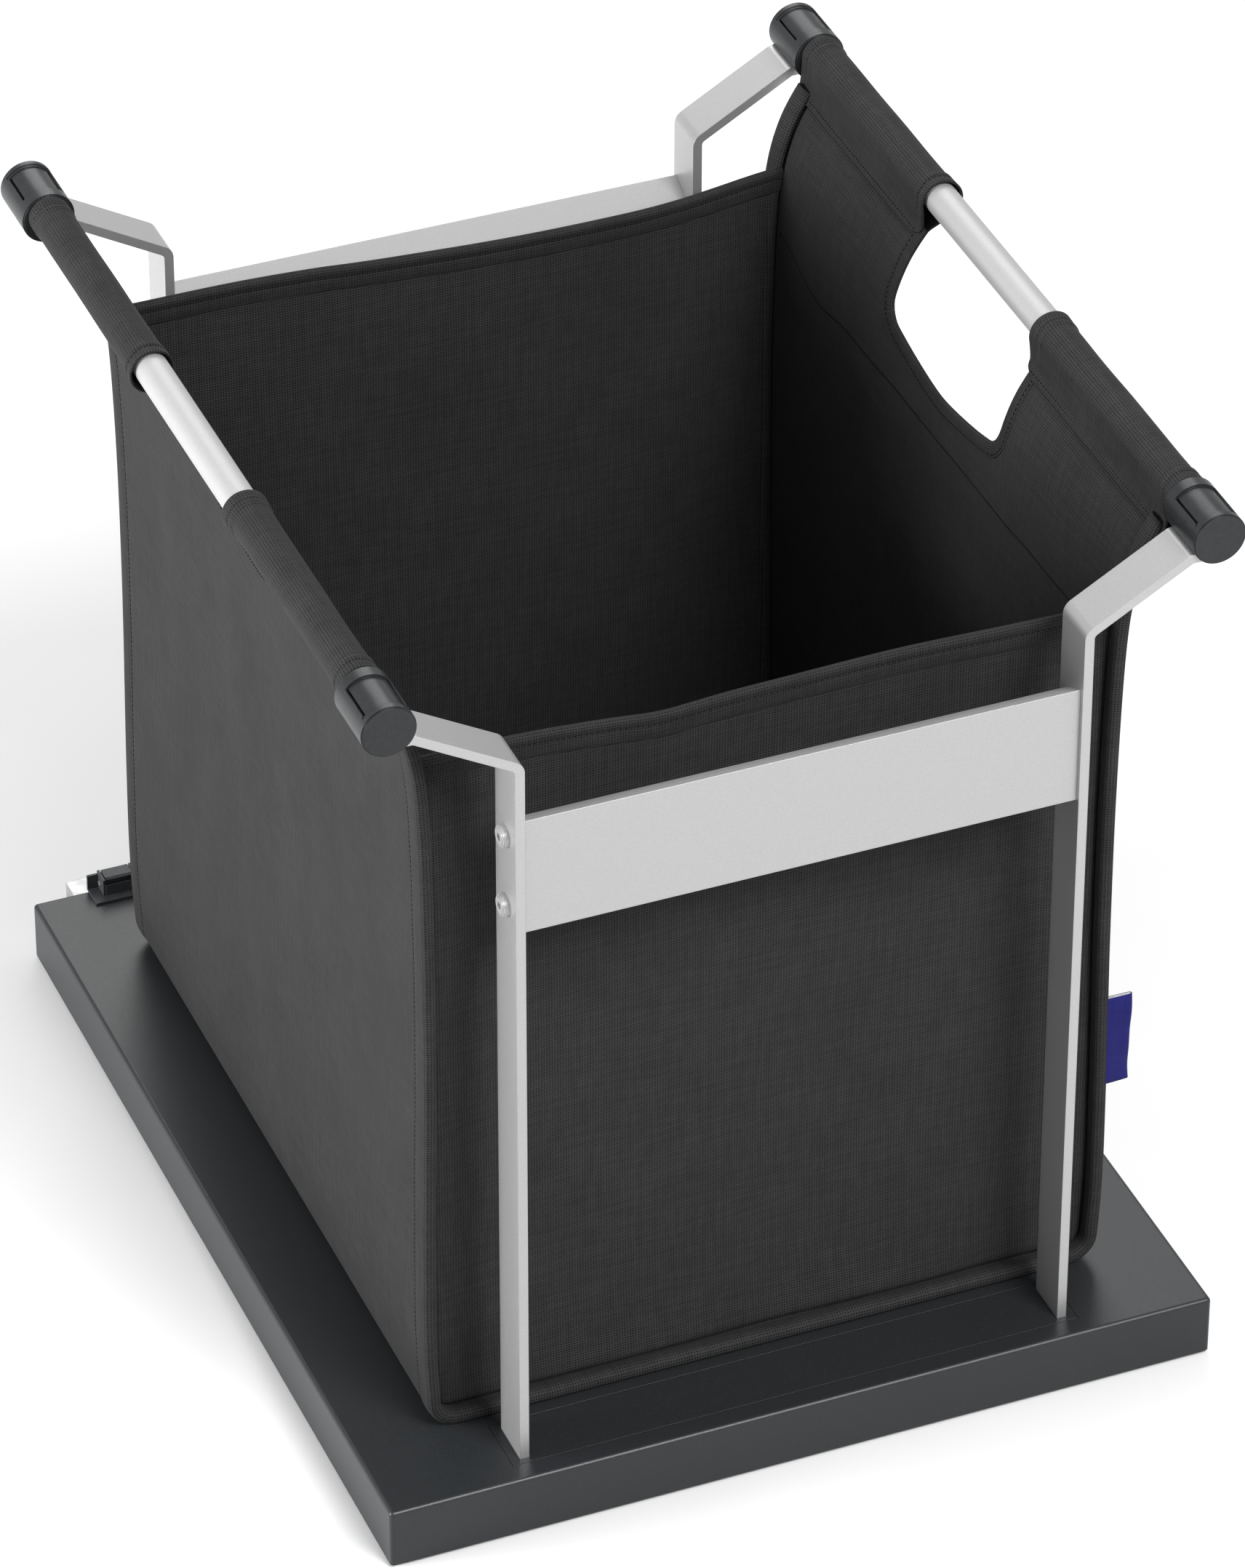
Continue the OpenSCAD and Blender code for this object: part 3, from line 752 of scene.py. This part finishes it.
def make_hole_hem(name, side, weave):
    """Cloth folded round the edge of a hand hole."""
    run = profile.length_at(hole_line[:, 1])
    flat = np.stack([hole_line[:, 0], run], 1)
    ahead = units(np.gradient(flat, axis=0))
    away = np.stack([ahead[:, 1], -ahead[:, 0]], 1)

    def lay(inset, depth):
        spots = flat + away * inset
        return np.array([on_side(side * min(s[1], profile.top - 1 * MM), s[0], depth) for s in spots])

    half = [(0.0, 0.6), (0.3, -0.1), (1.2, -0.5), (4, -0.6), (6.9, -0.5), (7.7, -0.25), (8, 0.2)]
    section = both_faces(half, middle=0.6)
    points = np.array([lay(inset * MM, depth * MM) for inset, depth in section])
    loop = lengths(np.array(section + section[:1]) * MM)
    uv = np.zeros((len(section) + 1, len(flat), 2))
    uv[:, :, 0] = lengths(flat)[None]
    uv[:, :, 1] = loop[:, None]
    mesh = grid_mesh(name, points, uv, tube=True)
    hem = add_piece(name, mesh, weave)
    out = np.array([out_of_side(side * s) for s in run])
    stitch_line = 6.3 * MM
    return hem, [(lay(stitch_line, -0.6 * MM), out), (lay(stitch_line, 1.8 * MM), -out)]


SLEEVE_LAP = 7 * MM
SLEEVE_END_LAP = 2.4 * MM
SLEEVE_R = TUBE_R + 1.15 * MM
SLEEVE_SAG = 0.5 * MM
LAP_DEPTHS = (2.0 * MM, -0.8 * MM)


def sleeve_section(side, looseness, lap):
    """The loop round the tube in X and Z, from its inner lap over the tube to its outer lap."""
    top = profile.top
    laps = []
    for depth in LAP_DEPTHS:
        pair = [profile.at(length) for length in (top - lap, top - min(lap * 0.3, 2 * MM))]
        laps.append([point - out * depth for point, out in pair])
    centre = np.array([TUBE_X, TUBE_Z - SLEEVE_SAG - 0.7 * looseness])
    radius = SLEEVE_R + looseness
    towards = profile.at(top)[0] - centre
    start = math.atan2(towards[1], towards[0])
    spread = math.acos(radius / np.linalg.norm(towards))
    angles = np.linspace(start - spread, start + spread - 2 * math.pi, 26)
    arc = [centre + radius * np.array([math.cos(a), math.sin(a)]) for a in angles]
    line = np.array([laps[0][0], laps[0][1], *arc, laps[1][1], laps[1][0]])
    line = soften(line, 2)
    run = lengths(line)
    even = np.linspace(0, run[-1], 44)
    line = np.stack([np.interp(even, run, line[:, k]) for k in (0, 1)], 1)
    line[:, 0] *= side
    return line


# A sleeve's end hem, as (distance from the end, how far it stands out) in millimetres: a double
# layer with its stitch line pulled in, and another pulled-in line where the lap ends.
SLEEVE_HEM = [(4.6, 0.6), (6.4, -0.1), (9.2, 0.6), (10.5, -0.1)]


def sleeve_fold(to_end):
    """How far the hem at a sleeve's end stands out at a distance from that end."""
    for reach, height in SLEEVE_HEM:
        if to_end <= reach * MM:
            return height * MM
    return 0.0


def make_sleeve(name, side, end, weave, node):
    """A loop of cloth round a tube, hemmed at both ends."""
    outer = SLEEVE_FRONT if end < 0 else SLEEVE_BACK
    gap = GAP_FRONT if end < 0 else GAP_BACK
    length = abs(gap - outer)
    hem_end = 12 * MM
    flare_start = length - 14 * MM
    stops = stations((0, hem_end, 1 * MM), (hem_end, flare_start, 4 * MM), (flare_start, length, 1 * MM))
    middle = np.array([side * TUBE_X, TUBE_Z])
    columns = []
    for stop in stops:
        to_gap = length - stop
        looseness = 0.8 * MM * math.exp(-to_gap / (7 * MM))
        lap = SLEEVE_END_LAP + (SLEEVE_LAP - SLEEVE_END_LAP) * min(to_gap / (9 * MM), 1) ** 0.5
        line = sleeve_section(side, looseness, lap)
        away = units(line - middle)
        y = outer - end * stop
        wrinkle = 0.55 * MM * np.array([
            noise.noise(Vector((x * 60, y * 22, z * 60 + side))) for x, z in line])
        from_laps = np.sin(np.linspace(0, math.pi, len(line))) ** 0.5
        fold = sleeve_fold(min(stop, to_gap))
        line = line + away * ((fold + wrinkle) * from_laps)[:, None]
        columns.append(np.column_stack([line[:, 0], np.full(len(line), y), line[:, 1]]))
    points = np.array(columns).transpose(1, 0, 2)
    around = lengths(points[:, 4])
    uv = np.stack(np.meshgrid(stops, lengths(points[:, len(stops) // 2])), -1)
    if (side > 0) == (end < 0):
        points = points[::-1]
        uv = uv[::-1]
    sleeve = add_piece(name, grid_mesh(name, points, uv), weave)
    thicken(sleeve, 1.0 * MM)
    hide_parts(node)

    rows = []
    for stop in (5.5 * MM, length - 5.5 * MM):
        ring = points[4:-4, int(np.argmin(abs(stops - stop)))]
        away = units((ring - (middle[0], 0, middle[1])) * (1, 0, 1))
        rows.append((ring + away * 0.5 * MM, away))
    seam = side * (profile.top - 4.5 * MM)
    for depth, facing in ((2.6 * MM, -1), (-1.4 * MM, 1)):
        line = np.array([on_side(seam, outer - end * s, depth) for s in stops[:-5]])
        rows.append((line, np.tile(facing * out_of_side(seam), (len(line), 1))))
    return sleeve, (around[-1], length), rows


# The facing's lower edge: its height above the floor, and its waves as (height, place behind the
# bag's middle, width), in millimetres.
FACING_RISE = 326
FACING_WAVES = [(-5, 134, 22), (6, 185, 25), (2.5, -120, 60)]


def make_facing_edge(name, side, material):
    """The fine edge of the facing inside a side, low under the hand hole."""
    lines = []
    for y in np.arange(FRONT + RIM_REACH + 3 * MM, BACK - RIM_REACH - 3 * MM, 4 * MM):
        back = (y - MID_Y) / MM
        rise = FACING_RISE
        for height, place, width in FACING_WAVES:
            rise += height * math.exp(-((back - place) / width) ** 2)
        lines.append((side * profile.length_at(FLOOR_Z + rise * MM), y))
    path = np.array([on_side(s, y, CLOTH) for s, y in lines])
    inward = np.array([-out_of_side(s) for s, _ in lines])
    across = np.tile([0.0, 0.0, 1.0], (len(path), 1))
    section = np.array([(-0.6, -0.2), (-0.45, 0.15), (0, 0.3), (0.45, 0.15), (0.6, -0.2)]) * MM
    return add_piece(name, sweep(name, path, across, inward, section), material)


def make_label(material, lining):
    """A ribbon folded into a loop and caught in the right front seam."""
    low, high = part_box("label")
    inner = low.x - 1.5 * MM
    bend_reach = 0.8 * MM
    outer = high.x - bend_reach
    middle = (low.y + high.y) / 2
    half_gap = 0.85 * MM
    bend = [(outer + bend_reach * math.cos(a), middle + half_gap * math.sin(a))
            for a in np.linspace(-math.pi / 2, math.pi / 2, 9)]
    start = [(inner + (outer - inner) * s, middle - half_gap) for s in np.linspace(0, 0.92, 8)]
    line = np.array(start + bend + [(x, 2 * middle - y) for x, y in reversed(start)])
    heights = np.linspace(low.z, high.z, 25)
    rows = []
    # The ribbon lies flat in its seam and ripples more towards its free edge.
    for z in heights:
        turn = (z - low.z) / (high.z - low.z)
        shift = 0.9 * math.sin(5.5 * turn + 0.6) + 0.35 * math.sin(13 * turn)
        share = (line[:, 0] - inner) / (high.x - inner)
        y = line[:, 1] + shift * MM * share ** 2
        x = line[:, 0] - 0.5 * MM * share * math.sin(3 * turn)
        rows.append(np.column_stack([x, y, np.full(len(line), z)]))
    points = np.array(rows)
    uv = np.stack(np.meshgrid(lengths(line), heights), -1)
    label = add_piece("seam_ribbon", grid_mesh("seam_ribbon", points, uv), material)
    label.data.materials.append(lining)
    solid = thicken(label, 0.35 * MM)
    solid.material_offset = 1
    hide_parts("label")


def make_bag():
    """Every piece of the bag."""
    weave = cloth("bag_weave", grey(0.024), grey(0.003))
    fold_weave = cloth("fold_weave", grey(0.022), grey(0.003))
    black = thread_finish("black_thread", grey(0.001), grey(0.003))
    edging = thread_finish("edging_thread", grey(0.006), grey(0.011))
    ribbon = cloth("ribbon_weave", (0.012, 0.012, 0.11), (0.006, 0.006, 0.05), pitch=0.4, roughness=0.5)
    lining = cloth("ribbon_back", (0.4, 0.4, 0.42), (0.28, 0.28, 0.3), pitch=0.4, roughness=0.5)

    band, band_flat = make_band(weave)
    band_pieces = []
    for end, word in ((-1, "front"), (1, "rear")):
        wall, flat = make_wall(word + "_wall", end, weave, "bag_" + word + "_panel")
        hem, rows = make_wall_hem(word + "_wall_hem", end, fold_weave)
        thread = stitches(word + "_hem_stitches", rows, edging)
    for side, side_word in ((-1, "left"), (1, "right")):
        hem, rows = make_hole_hem(side_word + "_hole_hem", side, fold_weave)
        band_pieces += [hem, stitches(side_word + "_hole_stitches", rows, black)]
        band_pieces.append(make_facing_edge(side_word + "_facing_edge", side, edging))
        for end, word in ((-1, "front"), (1, "rear")):
            name = side_word + "_" + word + "_sleeve"
            sleeve, flat, rows = make_sleeve(name + "_cloth", side, end, weave, name)
            thread = stitches(name + "_stitches", rows, edging)

    rows = []
    reach = profile.top - 8 * MM
    runs = np.arange(-reach, reach, 2.5 * MM)
    for y in (FRONT + BAND_STITCH_Y, BACK - BAND_STITCH_Y, BACK - BAND_STITCH_Y + 2 * MM):
        line = np.array([on_side(run, y, 0.15 * MM) for run in runs])
        rows.append((line, np.array([out_of_side(run) for run in runs])))
    band_pieces.append(stitches("band_stitches", rows, edging))

    make_label(ribbon, lining)


make_camera()
make_studio()
finish_cad()
make_bag()
